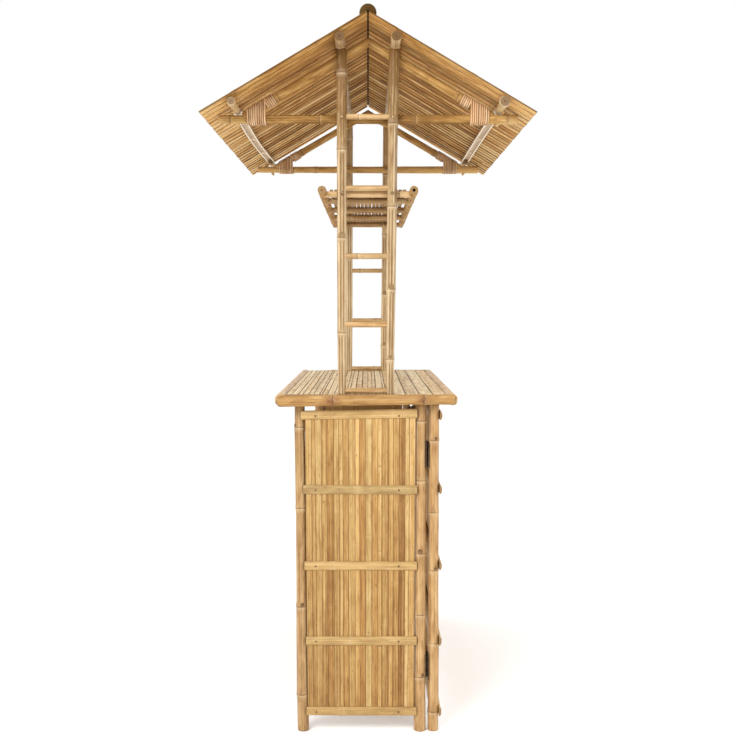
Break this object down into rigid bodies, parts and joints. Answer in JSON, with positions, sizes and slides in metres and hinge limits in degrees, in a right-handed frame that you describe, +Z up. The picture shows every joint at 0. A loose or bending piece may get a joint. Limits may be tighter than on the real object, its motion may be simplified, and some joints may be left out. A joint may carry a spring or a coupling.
{
  "type": "tiki bar hut",
  "caption": "Bamboo bar with a slatted counter on a folding screen base, and a slatted gable roof carried by end ladders with a hanging rack between them.",
  "frame": {"origin": "on the floor under the middle of the roof, at the bottom centre of the whole object's box", "axes": "+Z up; +X along the counter, to the right as a customer sees it; -Y towards the customers"},
  "size_m": [1.4076, 0.9866, 2.1929],
  "materials": {
    "bamboo_pole": "satin, honey-coloured bamboo with rings at its nodes",
    "bamboo_slat": "split bamboo with fine lengthwise fibres",
    "bamboo_batten": "half-round split bamboo, lightly polished",
    "roof_slat": "split bamboo with a slightly glossy underside",
    "weathered_pole": "weathered bamboo, dark at its ends",
    "rattan": "pale peeled rattan strand",
    "bearer_wood": "plain sawn wood",
    "dowel_wood": "turned bamboo dowel",
    "hinge_steel": "dull plated steel",
    "nail_steel": "dark nail head"
  },
  "bodies": {
    "front_panel": {"front_post_left": "bamboo_pole", "front_post_center": "bamboo_pole", "front_post_right": "bamboo_pole", "front_rails": "bamboo_pole", "front_slats": "bamboo_slat", "front_battens": "bamboo_batten", "front_batten_nails": "nail_steel", "front_hinge_leaves": "hinge_steel", "front_hinge_screws": "hinge_steel", "hinge_pins": "hinge_steel", "locating_dowels": "dowel_wood"},
    "wing_left": {"wing_left_front_post": "bamboo_pole", "wing_left_back_post": "bamboo_pole", "wing_left_rails": "bamboo_pole", "wing_left_slats": "bamboo_slat", "wing_left_battens": "bamboo_batten", "wing_left_nails": "nail_steel", "wing_left_hinge_leaves": "hinge_steel", "wing_left_hinge_screws": "hinge_steel"},
    "wing_right": {"wing_right_front_post": "bamboo_pole", "wing_right_back_post": "bamboo_pole", "wing_right_rails": "bamboo_pole", "wing_right_slats": "bamboo_slat", "wing_right_battens": "bamboo_batten", "wing_right_nails": "nail_steel", "wing_right_hinge_leaves": "hinge_steel", "wing_right_hinge_screws": "hinge_steel"},
    "top": {"counter_trim_front": "bamboo_pole", "counter_trim_back": "bamboo_pole", "counter_trim_left": "bamboo_pole", "counter_trim_right": "bamboo_pole", "counter_narrow_slats": "bamboo_slat", "counter_wide_slats": "bamboo_slat", "counter_bearers": "bearer_wood", "ladder_left_front_post": "bamboo_pole", "ladder_left_back_post": "bamboo_pole", "ladder_right_front_post": "bamboo_pole", "ladder_right_back_post": "bamboo_pole", "ladder_rungs": "bamboo_pole", "ladder_foot_dowels": "dowel_wood", "rack_rail_front": "bamboo_pole", "rack_rail_back": "bamboo_pole", "rack_crossbars": "bamboo_pole", "rack_slats": "bamboo_slat", "carriage_bolts": "hinge_steel", "tie_beam_left": "bamboo_pole", "tie_beam_right": "bamboo_pole", "rafters_left": "bamboo_pole", "rafters_right": "bamboo_pole", "lashing_left_front": "rattan", "lashing_left_back": "rattan", "lashing_right_front": "rattan", "lashing_right_back": "rattan", "roof_pegs": "dowel_wood", "upper_purlins": "bamboo_pole", "eave_purlins": "bamboo_pole", "roof_slats_front": "roof_slat", "roof_slats_back": "roof_slat", "ridge_pole": "weathered_pole"}
  },
  "joints": [
    {"name": "wing_left_fold", "type": "hinge", "parent": "front_panel", "child": "wing_left", "pos_m": [-0.57, -0.1815, 0.508], "axis": [0, 0, 1], "range_deg": [-90, 0]},
    {"name": "wing_right_fold", "type": "hinge", "parent": "front_panel", "child": "wing_right", "pos_m": [0.57, -0.1815, 0.508], "axis": [0, 0, 1], "range_deg": [0, 90]},
    {"name": "top_lift", "type": "slide", "parent": "front_panel", "child": "top", "axis": [0, 0, 1], "range_m": [0, 0.15]}
  ]
}
